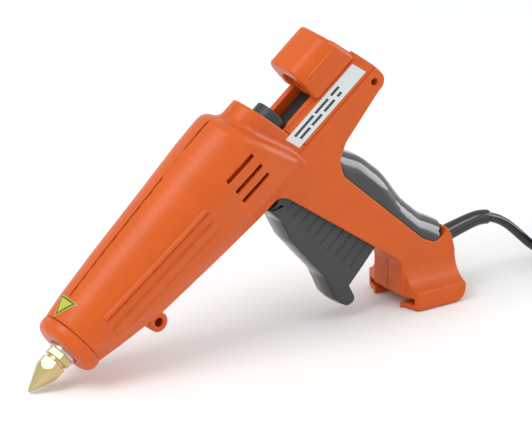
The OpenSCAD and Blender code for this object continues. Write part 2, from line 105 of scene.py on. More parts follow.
def arc_points(p, q, s):
    """The corner q between p and s, rounded to radius q[2], as points."""
    r = q[2] if len(q) > 2 else 0
    p, q, s = (np.array(v[:2], float) for v in (p, q, s))
    if r == 0:
        return [q]
    u, v = (p - q) / np.linalg.norm(p - q), (s - q) / np.linalg.norm(s - q)
    half = math.acos(float(u @ v)) / 2
    middle = (u + v) / np.linalg.norm(u + v)
    centre = q + middle * r / math.sin(half)
    a, b = q + u * r / math.tan(half) - centre, q + v * r / math.tan(half) - centre
    a0 = math.atan2(a[1], a[0])
    da = (math.atan2(b[1], b[0]) - a0 + math.pi) % (2 * math.pi) - math.pi
    n = max(2, round(abs(da) / math.radians(5)))
    return [centre + r * np.array([math.cos(a0 + da * i / n), math.sin(a0 + da * i / n)])
            for i in range(n + 1)]


def rounded(corners):
    """Points of a closed outline given by its corners (x, z, radius)."""
    n = len(corners)
    return np.array([p for i in range(n)
                     for p in arc_points(corners[i - 1], corners[i], corners[(i + 1) % n])])


def polygon_distance(points, x, z):
    """Signed distance from (x, z) to a closed polygon, negative inside."""
    best = np.full(x.shape, 1e9)
    inside = np.zeros(x.shape, bool)
    for a, b in zip(points, np.roll(points, -1, 0)):
        e = b - a
        wx, wz = x - a[0], z - a[1]
        t = np.clip((wx * e[0] + wz * e[1]) / max(e @ e, 1e-12), 0, 1)
        best = np.minimum(best, (wx - e[0] * t) ** 2 + (wz - e[1] * t) ** 2)
        if e[1] != 0:
            crosses = ((a[1] > z) != (b[1] > z)) & (wx < e[0] * wz / e[1])
            inside ^= crosses
    return np.where(inside, -1, 1) * np.sqrt(best)


def outline(corners):
    """Distance to a side-view outline as a function of x and z, sampled once on a fine grid."""
    step, margin = 0.3, 12
    points = rounded(corners)
    low = points.min(0) - margin
    count = np.ceil((points.max(0) + margin - low) / step).astype(int) + 1
    gx, gz = np.meshgrid(low[0] + step * np.arange(count[0]), low[1] + step * np.arange(count[1]),
                         indexing="ij")
    grid = polygon_distance(points, gx, gz)

    def distance(x, z):
        u, w = (x - low[0]) / step, (z - low[1]) / step
        cu, cw = np.clip(u, 0, count[0] - 1.001), np.clip(w, 0, count[1] - 1.001)
        i, j = cu.astype(int), cw.astype(int)
        fu, fw = cu - i, cw - j
        v = ((grid[i, j] * (1 - fu) + grid[i + 1, j] * fu) * (1 - fw)
             + (grid[i, j + 1] * (1 - fu) + grid[i + 1, j + 1] * fu) * fw)
        return v + step * np.hypot(u - cu, w - cw)
    return distance


def section_values(stations, x):
    """Each value of the stations (x, value, ...) at x, linearly interpolated."""
    s = np.array(stations, float)
    return [np.interp(x, s[:, 0], s[:, k]) for k in range(1, s.shape[1])]


# ---------------------------------------------------------------- meshes from fields
BLOCK = 12                               # cells along one side of a block
BATCH = 64                               # blocks sampled at a time
FAR = 9.0                                # value in the blocks away from the surface


def sample_band(field, low, count, step):
    """Field values on a grid, worked out only in blocks that may hold the surface."""
    blocks = np.ceil((count - 1) / BLOCK).astype(int)
    ids = np.stack(np.meshgrid(*[np.arange(b) for b in blocks], indexing="ij"), -1).reshape(-1, 3)
    centres = low + (ids + 0.5) * BLOCK * step
    middle = field(*centres.T)
    grid = np.repeat(np.repeat(np.repeat(
        np.where(middle < 0, -FAR, FAR).reshape(blocks), BLOCK, 0), BLOCK, 1), BLOCK, 2)
    grid = np.pad(grid, [(0, 1)] * 3, mode="edge").astype(np.float32)
    reach = BLOCK * step * 0.9           # a little over half of a block's diagonal
    near = ids[np.abs(middle) < reach]
    offset = np.stack(np.meshgrid(*[np.arange(BLOCK + 1)] * 3, indexing="ij"), -1).reshape(-1, 3)
    for start in range(0, len(near), BATCH):
        some = near[start:start + BATCH]
        index = (some[:, None] * BLOCK + offset).reshape(-1, 3)
        grid[index[:, 0], index[:, 1], index[:, 2]] = field(*(low + index * step).T)
    return grid


def net_faces(grid):
    """Surface net of a grid: vertex places in cells, and quads."""
    inside = grid < 0
    corners = [(i, j, k) for i in (0, 1) for j in (0, 1) for k in (0, 1)]
    n = np.array(grid.shape) - 1
    total = sum(inside[i:i + n[0], j:j + n[1], k:k + n[2]].astype(np.int8) for i, j, k in corners)
    cells = np.argwhere((total > 0) & (total < 8))
    vertex_of = np.full(n, -1, np.int32)
    vertex_of[tuple(cells.T)] = np.arange(len(cells))
    place, crossings = np.zeros((len(cells), 3)), np.zeros(len(cells))
    for c in corners:
        for axis in range(3):
            if c[axis]:
                continue
            a = cells + c
            b = a.copy()
            b[:, axis] += 1
            va, vb = grid[tuple(a.T)].astype(float), grid[tuple(b.T)].astype(float)
            hit = (va < 0) != (vb < 0)
            t = np.where(hit, va / np.where(hit, va - vb, 1), 0)
            p = np.array(c, float)[None].repeat(len(cells), 0)
            p[:, axis] += t
            place += p * hit[:, None]
            crossings += hit
    place = cells + place / crossings[:, None]
    quads = []
    for axis in range(3):
        u, w = (axis + 1) % 3, (axis + 2) % 3
        low, high = [slice(None)] * 3, [slice(None)] * 3
        low[axis], high[axis] = slice(None, -1), slice(1, None)
        change = inside[tuple(low)] != inside[tuple(high)]
        edges = np.argwhere(change)
        edges = edges[(edges[:, u] > 0) & (edges[:, w] > 0) & (edges[:, u] < n[u])
                      & (edges[:, w] < n[w])]
        ring = []
        for du, dw in ((1, 1), (0, 1), (0, 0), (1, 0)):
            c = edges.copy()
            c[:, u] -= du
            c[:, w] -= dw
            ring.append(vertex_of[tuple(c.T)])
        quad = np.stack(ring, 1)
        back = ~inside[tuple(edges.T)]
        quad[back] = quad[back][:, ::-1]
        quads.append(quad)
    return place, np.concatenate(quads)


def slide_to_surface(field, p, reach):
    """Moves points along the field's slope on to its surface."""
    h = 0.03                             # half of the span the slope is measured over
    value = field(*p.T)
    slope = np.stack([field(*(p + h * e).T) - field(*(p - h * e).T) for e in np.eye(3)], 1) / (2 * h)
    move = -value[:, None] * slope / np.maximum((slope ** 2).sum(1), 0.2)[:, None]
    length = np.linalg.norm(move, axis=1)
    return p + move * np.minimum(1, reach / np.maximum(length, 1e-9))[:, None]


def relax(p, quads, share):
    """Moves each point part of the way to the middle of its neighbours."""
    total, count = np.zeros_like(p), np.zeros(len(p))
    for k in range(4):
        a, b = quads[:, k], quads[:, (k + 1) % 4]
        for axis in range(3):
            total[:, axis] += np.bincount(a, p[b, axis], len(p)) + np.bincount(b, p[a, axis], len(p))
        count += np.bincount(a, minlength=len(p)) + np.bincount(b, minlength=len(p))
    return p + share * (total / np.maximum(count, 1)[:, None] - p)


def new_object(name, points, faces, material, smooth=True):
    """A mesh object from row-frame points in metres. An array of faces takes the quick way."""
    mesh = bpy.data.meshes.new(name)
    if isinstance(faces, np.ndarray):
        mesh.vertices.add(len(points))
        mesh.vertices.foreach_set("co", np.asarray(points, np.float32).ravel())
        sides = faces.shape[1]
        mesh.loops.add(faces.size)
        mesh.loops.foreach_set("vertex_index", faces.astype(np.int32).ravel())
        mesh.polygons.add(len(faces))
        mesh.polygons.foreach_set("loop_start", np.arange(0, faces.size, sides, dtype=np.int32))
        mesh.update(calc_edges=True)
    else:
        mesh.from_pydata([tuple(p) for p in points], [], faces)
    mesh.validate()
    if smooth:
        mesh.shade_smooth()
    mesh.materials.append(material)
    obj = bpy.data.objects.new(name, mesh)
    bpy.context.scene.collection.objects.link(obj)
    return obj


def solid_mesh(name, field, low, high, step, material):
    """Closed smooth mesh of a field between two corners, all in mm."""
    low, high = np.array(low, float), np.array(high, float)
    count = np.ceil((high - low) / step).astype(int) + 1
    grid = sample_band(field, low, count, step)
    p, quads = net_faces(grid)
    p = low + p * step
    # slides the points on to the surface four times, twice after evening them out
    for share in (0, 0.5, 0.4, 0):
        if share:
            p = relax(p, quads, share)
        p = slide_to_surface(field, p, step)
    return new_object(name, to_row(p), quads, material)


def make_part(node, name, field, low, high, step, finish, body="gun"):
    """A moulded piece from its field, in place of the CAD node."""
    obj = solid_mesh(name, field, low, high, step * (1), finish)
    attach(obj, body)
    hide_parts(node)


# ---------------------------------------------------------------- housing
# Barrel stations: x, half-width, centre height, keel half-width, keel height
BARREL = [(46, 23.5, 1.5, 11, -19.6), (64, 24.6, 2.9, 12.4, -23.6), (100, 26.5, 4, 15, -30),
          (150, 28.6, 5, 16.2, -34.6), (190, 30.6, 5.8, 17, -37.8), (206, 31, 6, 17, -38.4),
          (250, 31, 6, 17, -39)]
SIDE_LEAN, KEEL_LEAN = math.radians(10), math.radians(31)
NOSE_END = 46.3                          # where the barrel stops behind the nose cap
SHOULDER, SHOULDER_LEAN = 230.2, 0.34    # rear face of the barrel
# Neck behind the shoulder that holds the collar: height of its middle, front and rear
ARCH_Z, ARCH_START, ARCH_END = 10.8, 205, 243.1
REAR_LEAN = 0.2                          # lean of the arch's rear face and the rail's front face
# Foot, in the row frame: front edge, height of the rim, half-width, radii of flare and heel
FOOT_FRONT, FOOT_RIM, FOOT_HALF, FLARE_R, HEEL_R = 122, 12.3, 30, 17.5, 9
HANDLE = [(196, -24), (200, -34.5), (214, -38, 16), (239.6, -128.6), gun_point(123, 33, 12),
          gun_point(122, 0), gun_point(166, 0, 9), gun_point(166, 33, 6), gun_point(163.5, 44, 5),
          (286, -160, 1), (281, -165, 4), (272.5, -162, 5), (268, -152, 8), (255, -67.5, 8),
          (259.5, -56.5, 6), (271, -50, 3), (310, -42.3, 9), (321.5, -41.5, 8), (320, -26, 1),
          (226, -26), (215, -16)]
MOUTH = [(190, -37), (203, -50), (227, -137), (243.5, -134), (262.4, -129, 3), (254.4, -77, 4),
         (240, -60), (232, -36), (208, -34, 6)]
RIBS = [(9.2, 12), (-7.6, 0)]            # heights of the raised ribs on both sides
RIB_ENDS = (66, 166)
RIB_HEIGHT, RIB_INNER = 1.8, 12          # ribs and their grooves stay outside y = RIB_INNER
VENTS = (12.6, 2, -8.4)
VENT_ENDS, VENT_HALF, VENT_DEPTH = (188.5, 214), 1.6, 4
SEAM_SLOTS = [(64, 164), (188, 213)]
SEAM_SLOT_HALF, SEAM_SLOT_DEPTH = 0.75, 1.6
RAIL_MARK_Z, RAIL_MARK_HALF, RAIL_MARK_ENDS = -25.9, 0.6, (240.5, 249.5)
LUG, LUG_R, LUG_HALF = (95, -34.5), 7, 12.3
HANG_HOLE = (312.5, -34)
HANG_HOLE_R, LUG_HOLE_R = 2.65, 3.2
SCREW_BOSS_R, PIVOT_BOSS_R, HANG_BOSS_R = 4, 5, 6
SCREW_HOLE_R, SCREW_HEAD_R, SCREW_DEPTH = 1.7, 3.9, 11.5
SLOT_MOUTH_HALF, SLOT_HALF, SLOT_LIP, SLOT_CEILING, SLOT_START = 14.5, 26, 3.6, 8, 100
CORD_HOLE, CORD_HOLE_R, CORD_TILT = (150, 33), 6.7, 0.22
SEAM_GAP = 0.1                           # each half stops this far from the middle
HOUSING_STEP = 0.8
SCREWS = [(72, -19, 12), (150, -26.5, 17), (150, 22, 14), (246, -41, 12), (297, -38, 12),
          (262, -178, 12)]

handle_outline = outline(HANDLE)
mouth_outline = outline(MOUTH)


def barrel_section(x, y, z):
    """Barrel that is round above, leans in below and ends in a flat keel."""
    half, centre, keel_y, keel_z = section_values(BARREL, x)
    ay, dz = np.abs(y), z - centre
    above = ay * math.sin(SIDE_LEAN) + dz * math.cos(SIDE_LEAN) > 0
    top = np.where(above, np.hypot(ay, dz),
                   ay * math.cos(SIDE_LEAN) - dz * math.sin(SIDE_LEAN)) - half
    lower = (ay - keel_y) * math.cos(KEEL_LEAN) - (z - keel_z) * math.sin(KEEL_LEAN)
    f = cut_round(top, lower, 1.5)
    f = cut_round(f, keel_z - z, 3)
    round_nose = np.hypot(ay, dz) - half - 0.22 * np.maximum(x - 46, 0)
    return cut_round(f, round_nose, 1)


def ribs(x, y, z, f):
    """Raises the long ribs on the barrel's sides, each with a groove under it."""
    for low, high in RIBS:
        inner = RIB_INNER - np.abs(y)
        shape = np.maximum(cut_round(slab(z, low, high), slab(x, *RIB_ENDS), 0.6), inner)
        raised = join_round(f, cut_round(shape, f - RIB_HEIGHT, 0.35), 0.4)
        under = np.maximum(np.maximum(slab(z, low - 1.4, low), slab(x, *RIB_ENDS)), -f - 1)
        f = np.maximum(raised, -np.maximum(under, inner))
    return f


def foot_field(rx, ay, rz):
    """Straight rim, then a hollow flare up to the handle's width, in the row frame in mm."""
    bow = FOOT_FRONT + 5.5 * (ay / FOOT_HALF) ** 2 + 1.5 * np.maximum(rz - FOOT_RIM, 0) / 16
    hollow = FLARE_R - np.hypot(ay - SIDE - FLARE_R, rz - FOOT_RIM - FLARE_R)
    above_rim = np.maximum(rz - FOOT_RIM - FLARE_R, hollow)
    foot = cut_round(ay - FOOT_HALF, above_rim, 0.9)
    foot = cut_round(foot, np.maximum(bow - rx, -rz), 0.8)
    heel_x = HALF_LENGTH - HEEL_R
    heel = np.where(rz < HEEL_R, np.hypot(np.maximum(rx - heel_x, 0), HEEL_R - rz) - HEEL_R,
                    rx - HALF_LENGTH)
    return cut_round(foot, heel, 1)


def housing_outside(x, y, z):
    """Outer surface of both halves together, before anything is cut from it."""
    ay = np.abs(y)
    barrel = barrel_section(x, y, z)
    barrel = cut_round(barrel, lean_plane(x, z, SHOULDER, SHOULDER_LEAN), 6.5)
    barrel = cut_round(barrel, NOSE_END - x, 0.6)
    arch = np.where(z > ARCH_Z, np.hypot(ay, z - ARCH_Z), ay) - SIDE
    arch = cut_round(arch, lean_plane(x, z, ARCH_END, REAR_LEAN), 1.2)
    arch = np.maximum(arch, np.maximum(ARCH_START - x, -30 - z))
    handle = cut_round(handle_outline(x, z), ay - SIDE, 1.2)
    lug = cut_round(np.hypot(x - LUG[0], z - LUG[1]) - LUG_R, ay - LUG_HALF, 0.8)
    fillet = np.clip(5 + (z + 18) * 0.35, 1, 5)
    body = join_round(barrel, np.minimum(arch, handle), fillet)
    body = join_round(body, lug, 1.2)
    body = ribs(x, y, z, body)
    return np.minimum(body, foot_field(row_x(x, z), ay, row_z(x, z)))


def add_bosses(solid, outside, x, ay, z):
    """Bosses of the screws, the pivot and the hanging hole, and the baffle behind the vents."""
    for sx, sz, _ in SCREWS:
        boss = np.hypot(x - sx, z - sz) - SCREW_BOSS_R
        solid = np.minimum(solid, np.maximum(boss, outside + 0.5))
    for (hx, hz), r in ((PIVOT, PIVOT_BOSS_R), (HANG_HOLE, HANG_BOSS_R)):
        solid = np.minimum(solid, np.maximum(np.hypot(x - hx, z - hz) - r, outside))
    baffle = np.maximum(slab(outside, -7, -5), np.maximum(slab(x, 184, 218), np.abs(z - 2) - 18))
    return np.minimum(solid, np.maximum(baffle, 12 - ay))


def cut_grooves(solid, outside, x, ay, z):
    """Grooves along the top seam, vents in both sides, and the end of the rail's seam."""
    for a, b in SEAM_SLOTS:
        groove = cut_round(slab(x, a, b), ay - SEAM_SLOT_HALF, 0.3)
        groove = np.maximum(groove, -outside - SEAM_SLOT_DEPTH)
        solid = np.maximum(solid, -np.maximum(groove, -z))
    for vz in VENTS:
        vent = cut_round(slab(x, *VENT_ENDS), np.abs(z - vz) - VENT_HALF, 0.4)
        vent = np.maximum(np.maximum(vent, 16 - ay), -outside - VENT_DEPTH)
        solid = cut_round(solid, -vent, 0.3)
    mark = np.maximum(np.abs(z - RAIL_MARK_Z) - RAIL_MARK_HALF, slab(x, *RAIL_MARK_ENDS))
    return np.maximum(solid, -np.maximum(mark, SIDE - 0.8 - ay))


def cut_openings(solid, x, y, z):
    """The trigger's mouth, the pivot, the two cross holes, the axial bores and the drawbar's way."""
    ay = np.abs(y)
    room = ay - TRIGGER_HALF - 0.7
    pivot = np.hypot(x - PIVOT[0], z - PIVOT[1])
    solid = cut_round(solid, -np.maximum(mouth_outline(x, z), room), 0.5)
    solid = np.maximum(solid, -np.maximum(pivot - 6, room))
    solid = np.maximum(solid, -np.maximum(pivot - 2.5, ay - 15))
    solid = cut_round(solid, HANG_HOLE_R - np.hypot(x - HANG_HOLE[0], z - HANG_HOLE[1]), 0.4)
    solid = cut_round(solid, LUG_HOLE_R - np.hypot(x - LUG[0], z - LUG[1]), 0.5)
    bore = np.hypot(y, z)
    solid = np.maximum(solid, -np.maximum(bore - 16.3, x - 52))
    solid = np.maximum(solid, -np.maximum(bore - 12.15, 228 - x))
    drawbar_way = np.maximum(np.maximum(slab(x, 200, 260), slab(z, -22, -10)), ay - 8.5)
    return np.maximum(solid, -drawbar_way)


def housing_field(x, y, z):
    """Both halves together: hollow shell, bosses, grooves, openings, slot, screws and cord hole."""
    ay = np.abs(y)
    outside = housing_outside(x, y, z)
    rx, rz = row_x(x, z), row_z(x, z)
    cavity = cut_round(outside + WALL, 11 - rz, 1)
    solid = np.maximum(outside, -cavity)
    solid = add_bosses(solid, outside, x, ay, z)
    solid = cut_grooves(solid, outside, x, ay, z)
    solid = cut_openings(solid, x, y, z)
    # T-shaped slot under the foot
    mouth = np.maximum(ay - SLOT_MOUTH_HALF, rz - SLOT_LIP - 0.4)
    slot = np.minimum(mouth, np.maximum(ay - SLOT_HALF, slab(rz, SLOT_LIP, SLOT_CEILING)))
    solid = cut_round(solid, -np.maximum(slot, SLOT_START - rx), 0.4)
    for sx, sz, head in SCREWS:
        shank = np.hypot(x - sx, z - sz)
        solid = np.maximum(solid, -np.maximum(shank - SCREW_HOLE_R, -y - SCREW_DEPTH))
        solid = np.maximum(solid, -np.maximum(shank - SCREW_HEAD_R, head - y))
    cord_x, cord_z = rx - CORD_HOLE[0], rz - CORD_HOLE[1]
    cord_way = np.hypot(y, cord_z * math.cos(CORD_TILT) - cord_x * math.sin(CORD_TILT)) - CORD_HOLE_R
    return np.maximum(solid, -np.maximum(cord_way, -1 - cord_x))


def housing_half(name, side, material):
    """One half of the housing, towards -Y for side 1 and towards +Y for side -1."""
    def field(x, y, z):
        return cut_round(housing_field(x, y, z), side * y + SEAM_GAP, 0.3)
    low = (45, -32 if side > 0 else -0.5, -215)
    high = (324, 0.5 if side > 0 else 32, 39)
    make_part(name, name, field, low, high, HOUSING_STEP, material)


# ---------------------------------------------------------------- camera, floor and light
def make_camera():
    """Long lens from far off, since the photograph is close to a parallel projection."""
    azimuth, elevation, distance = math.radians(-33.4), math.radians(21.6), 10.0
    target = Vector((0.0253, 0, 0.0870))
    roll = Quaternion((0, 0, 1), math.radians(-0.737))
    back = Vector((math.sin(azimuth) * math.cos(elevation),
                   -math.cos(azimuth) * math.cos(elevation), math.sin(elevation)))
    data = bpy.data.cameras.new("camera")
    data.sensor_width = 36
    view_width = 0.3547                  # metres across the picture at the gun
    data.lens = 36 * distance / view_width
    data.clip_end = 5 * distance
    cam = bpy.data.objects.new("camera", data)
    cam.location = target + back * distance
    cam.rotation_mode = "QUATERNION"
    cam.rotation_quaternion = (-back).to_track_quat("-Z", "Y") @ roll
    bpy.context.scene.collection.objects.link(cam)
    bpy.context.scene.camera = cam


def area_light(name, place, target, size, power, diffuse=True):
    """Rectangular light that no camera sees. Without diffuse it shows only in gloss."""
    data = bpy.data.lights.new(name, "AREA")
    data.shape = "RECTANGLE"
    data.size, data.size_y = size
    data.energy = power
    light = bpy.data.objects.new(name, data)
    light.location = place
    light.visible_camera = False
    light.visible_diffuse = diffuse
    light.rotation_mode = "QUATERNION"
    light.rotation_quaternion = (Vector(target) - Vector(place)).to_track_quat("-Z", "Y")
    bpy.context.scene.collection.objects.link(light)


def make_studio():
    scene = bpy.context.scene
    world = bpy.data.worlds.new("studio")
    world.use_nodes = True
    background = world.node_tree.nodes["Background"]
    background.inputs["Color"].default_value = (0.97, 1, 1, 1)
    background.inputs["Strength"].default_value = 0.86
    scene.world = world
    bpy.ops.mesh.primitive_plane_add(size=12, location=(0, 0, -0.0004))
    floor = bpy.context.object
    floor.name = "floor"
    floor.data.materials.append(finish_of("floor_white", (0.95, 0.95, 0.95), 0.9, tone=0.0))
    gun = (0, 0, 0.08)
    area_light("key", (-1.0, -0.1, 1.5), gun, (0.9, 0.9), 13)
    area_light("fill", (1.2, -1.4, 0.6), gun, (1.2, 1.2), 3)
    # cards that light nothing and show only in gloss, most of all on the grip and the lead
    area_light("back_card", (1.27, -0.37, 0.42), (0.12, 0, 0.1), (0.7, 0.8), 8.5, diffuse=False)
    area_light("top_card", (0.6, -0.8, 1.2), (0.15, 0, 0.05), (0.6, 0.45), 5.5, diffuse=False)
    scene.view_settings.view_transform = "Standard"


# ---------------------------------------------------------------- materials
PATCH_MM = 18                            # width of the patches over which a finish drifts


def finish_of(name, colour, roughness, metallic=0.0, tone=0.04, grain=0.0, grain_mm=0.5,
              shift=0.05, coat=0.0, brushed=1, sheen=0.5):
    """A procedural finish. Colour and roughness drift by tone and shift from patch to patch, and
    grain is the depth in mm of the fine texture, its cells grain_mm wide."""
    mat = bpy.data.materials.new(name)
    mat.use_nodes = True
    nodes, link = mat.node_tree.nodes, mat.node_tree.links.new
    shader = nodes["Principled BSDF"]
    shader.inputs["Metallic"].default_value = metallic
    shader.inputs["Coat Weight"].default_value = coat
    shader.inputs["Specular IOR Level"].default_value = sheen
    place = nodes.new("ShaderNodeTexCoord")
    patches = nodes.new("ShaderNodeTexNoise")
    patches.inputs["Scale"].default_value = 1000 / PATCH_MM
    patches.inputs["Detail"].default_value = 4
    link(place.outputs["Object"], patches.inputs["Vector"])
    ramp = nodes.new("ShaderNodeValToRGB")
    ramp.color_ramp.elements[0].position, ramp.color_ramp.elements[1].position = 0.3, 0.7
    for element, share in zip(ramp.color_ramp.elements, (1 - tone, 1 + tone)):
        element.color = (*[min(1, c * share) for c in colour], 1)
    link(patches.outputs["Fac"], ramp.inputs["Fac"])
    link(ramp.outputs["Color"], shader.inputs["Base Color"])
    level = nodes.new("ShaderNodeMapRange")
    level.inputs["To Min"].default_value = roughness - shift
    level.inputs["To Max"].default_value = roughness + shift
    link(patches.outputs["Fac"], level.inputs["Value"])
    link(level.outputs["Result"], shader.inputs["Roughness"])
    if grain:
        stretch = nodes.new("ShaderNodeMapping")
        stretch.inputs["Scale"].default_value = (1, brushed, 1)
        fine = nodes.new("ShaderNodeTexNoise")
        fine.inputs["Scale"].default_value = 1000 / grain_mm
        fine.inputs["Detail"].default_value = 2
        bump = nodes.new("ShaderNodeBump")
        bump.inputs["Distance"].default_value = grain * MM
        link(place.outputs["Object"], stretch.inputs["Vector"])
        link(stretch.outputs["Vector"], fine.inputs["Vector"])
        link(fine.outputs["Fac"], bump.inputs["Height"])
        link(bump.outputs["Normal"], shader.inputs["Normal"])
    return mat


def make_finishes():
    """One finish for each material slot of the record."""
    return {
        "orange_housing": finish_of("orange_housing", (0.62, 0.098, 0.008), 0.36, sheen=0.28,
                                    grain=0.04, grain_mm=0.6, shift=0.03),
        "grip_rubber": finish_of("grip_rubber", (0.017, 0.018, 0.020), 0.16, grain=0.004, tone=0.1,
                                 coat=0.4),
        "black_plastic": finish_of("black_plastic", (0.022, 0.024, 0.028), 0.42, grain=0.04),
        "trigger_plastic": finish_of("trigger_plastic", (0.033, 0.036, 0.039), 0.5, grain=0.04,
                                     tone=0.08),
        "pad_gloss": finish_of("pad_gloss", (0.022, 0.023, 0.023), 0.16, grain=0.004, shift=0.03),
        "ptfe": finish_of("ptfe", (0.80, 0.78, 0.72), 0.45, grain=0.02),
        "cast_aluminium": finish_of("cast_aluminium", (0.55, 0.56, 0.57), 0.45, 1.0, grain=0.12,
                                    grain_mm=1.2),
        "brass": finish_of("brass", (0.60, 0.48, 0.24), 0.34, 1.0, tone=0.06, grain=0.015,
                           grain_mm=0.8, brushed=8),
        "bright_steel": finish_of("bright_steel", (0.62, 0.62, 0.64), 0.26, 1.0, grain=0.015,
                                  grain_mm=0.8, brushed=8),
        # blackened steel of the drawbar, made darker and browner than the steel alone as painted
        # shade, so that the drawbar stands in for the shadow in the rail's channel
        "dark_steel": finish_of("dark_steel", (0.020, 0.017, 0.015), 0.45, 0.3, grain=0.04),
        "insulator": finish_of("insulator", (0.72, 0.69, 0.58), 0.6, grain=0.05),
        "wire_red": finish_of("wire_red", (0.33, 0.02, 0.014), 0.45, grain=0.02),
        "cord_rubber": finish_of("cord_rubber", (0.016, 0.017, 0.017), 0.22, grain=0.02, tone=0.1),
        "label_grey": finish_of("label_grey", (0.68, 0.71, 0.73), 0.35, grain=0.01, tone=0.02),
        "label_yellow": finish_of("label_yellow", (0.42, 0.36, 0.045), 0.35, grain=0.01),
    }


# ---------------------------------------------------------------- mains lead
# Where it runs from the handle to the coil, and from the coil to the plug, in mm
CORD_ROUTE = [
    (160, 0, 35.4), (170, 0, 37.7), (180, 0, 40), (190, 0, 42), (196, 0, 42.6), (202, 0, 42),
    (208, 0, 40), (214, 0, 37), (220, 0, 32.6), (226, 0, 27), (232, 0, 20.8), (238, 0, 14.8),
    (245, 0, 9.5), (253, 0.1, 6), (262, 1.7, 4.5)]
INTO_COIL = [(270, 4.9, 4.3), (278, 10.1, 4.25), (286, 13.9, 4.25), (293, 15.7, 4.25),
             (300, 16.25, 4.25)]
TAIL_ROUTE = [
    (336.6, -4.9, 24.3), (340.8, -15.1, 25.9), (342.2, -26, 28.6), (340.4, -36.3, 32.1),
    (335.2, -45.3, 35), (327.3, -52, 36.9), (317.5, -55.5, 37.9), (312.2, -56, 38.1),
    (306, -56, 38.1)]
COIL_CENTRE = (300, -26)
COIL_INNER, COIL_OUTER, COIL_FLOOR = 35.75, 42.25, 4.25
COIL_TURN = 2205                         # degrees wound, a little over six turns
# Stretches of the winding, in degrees, where it moves in, out or up by one diameter
STEPS_IN = [(215, 305), (1345, 1435)]
STEPS_OUT = [(780, 870), (1910, 2000)]
STEPS_UP = [(510, 575), (1075, 1140), (1640, 1705)]


def ease(t, span):
    """0 before the span and 1 after it, with a smooth step between."""
    share = min(max((t - span[0]) / (span[1] - span[0]), 0), 1)
    return (1 - math.cos(math.pi * share)) / 2


def coil_points():
    """The winding, clockwise from above, from where the lead comes in at the back."""
    points = []
    for t in range(15, COIL_TURN + 1, 15):
        inwards = sum(ease(t, s) for s in STEPS_IN) - sum(ease(t, s) for s in STEPS_OUT)
        radius = COIL_OUTER - (COIL_OUTER - COIL_INNER) * inwards
        height = COIL_FLOOR + 2 * CORD_R * sum(ease(t, s) for s in STEPS_UP)
        angle = math.radians(90 - t)
        points.append((COIL_CENTRE[0] + radius * math.cos(angle),
                       COIL_CENTRE[1] + radius * math.sin(angle), height))
    return points


def smooth_line(points, parts):
    """Catmull-Rom points through a route."""
    p = np.array(points, float)
    line = []
    for i in range(len(p) - 1):
        a, b, c, d = p[max(i - 1, 0)], p[i], p[i + 1], p[min(i + 2, len(p) - 1)]
        for k in range(parts):
            t = k / parts
            line.append(0.5 * (2 * b + (c - a) * t + (2 * a - 5 * b + 4 * c - d) * t * t
                               + (3 * b - a - 3 * c + d) * t ** 3))
    return np.array(line + [p[-1]])


def make_cord(finish):
    """The whole lead as one tube from the housing to the plug, and its centre line in metres."""
    line = smooth_line(CORD_ROUTE + INTO_COIL + coil_points() + TAIL_ROUTE, 4) * MM
    data = bpy.data.curves.new("mains_lead", "CURVE")
    data.dimensions = "3D"
    data.bevel_depth = CORD_R * MM
    data.bevel_resolution = 5
    data.use_fill_caps = True
    spline = data.splines.new("POLY")
    spline.points.add(len(line) - 1)
    spline.points.foreach_set("co", np.c_[line, np.ones(len(line))].ravel())
    spline.use_smooth = True
    data.materials.append(finish)
    cord = bpy.data.objects.new("mains_lead", data)
    bpy.context.scene.collection.objects.link(cord)
    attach(cord, "gun")
    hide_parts("power_cord", "cord_coil", "cord_tail")
    return cord, line


def tube_mesh(name, line, radii, material):
    """A round tube with closed ends along a line, in mm."""
    sides = 32
    line = np.array(line, float)
    heading = np.gradient(line, axis=0)
    heading /= np.linalg.norm(heading, axis=1)[:, None]
    across = np.cross((0, 1, 0), heading)
    across /= np.linalg.norm(across, axis=1)[:, None]
    third = np.cross(heading, across)
    angle = 2 * np.pi * np.arange(sides) / sides
    rings = (line[:, None] + np.array(radii)[:, None, None]
             * (across[:, None] * np.cos(angle)[:, None] + third[:, None] * np.sin(angle)[:, None]))
    points = rings.reshape(-1, 3) * MM
    faces = [(i * sides + k, i * sides + (k + 1) % sides, (i + 1) * sides + (k + 1) % sides,
              (i + 1) * sides + k) for i in range(len(line) - 1) for k in range(sides)]
    last = (len(line) - 1) * sides
    faces += [tuple(range(sides))[::-1], tuple(range(last, last + sides))]
    return new_object(name, points, faces, material)


RELIEF_R, RELIEF_TAPER, RELIEF_END = 6.4, 1.5, 204.5
RELIEF_GROOVE, RELIEF_GROOVE_DEPTH = (161.6, 162.8), 0.45
RELIEF_ROUND = 1.2                       # radius of the sleeve's end


def make_strain_relief(finish):
    """Tapered sleeve with a groove just inside the rear wall and a rounded end."""
    line = smooth_line([(149, 0, 33)] + CORD_ROUTE[:8], 8)
    line = line[line[:, 0] < RELIEF_END]
    along = np.r_[0, np.cumsum(np.linalg.norm(np.diff(line, axis=0), axis=1))]
    radii = RELIEF_R - RELIEF_TAPER * along / along[-1]
    grooved = (line[:, 0] > RELIEF_GROOVE[0]) & (line[:, 0] < RELIEF_GROOVE[1])
    radii = np.where(grooved, radii - RELIEF_GROOVE_DEPTH, radii)
    past = np.maximum(RELIEF_ROUND - along[-1] + along, 0)
    radii = radii - RELIEF_ROUND + np.sqrt(np.maximum(RELIEF_ROUND ** 2 - past ** 2, 0))
    relief = tube_mesh("strain_relief_sleeve", line, radii, finish)
    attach(relief, "gun")
    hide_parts("strain_relief")
    return relief


# ---------------------------------------------------------------- nose
NOSE_RING = outline([(35.4, -5), (40, -5), (40, 16.5), (46, 16.5), (46, 23.5, 0.9),
                     (36.4, 23.5, 6)])
NOSE_Z = 1.5                             # height of the ring's middle above the barrel axis
NOSE_BORE = 10.6


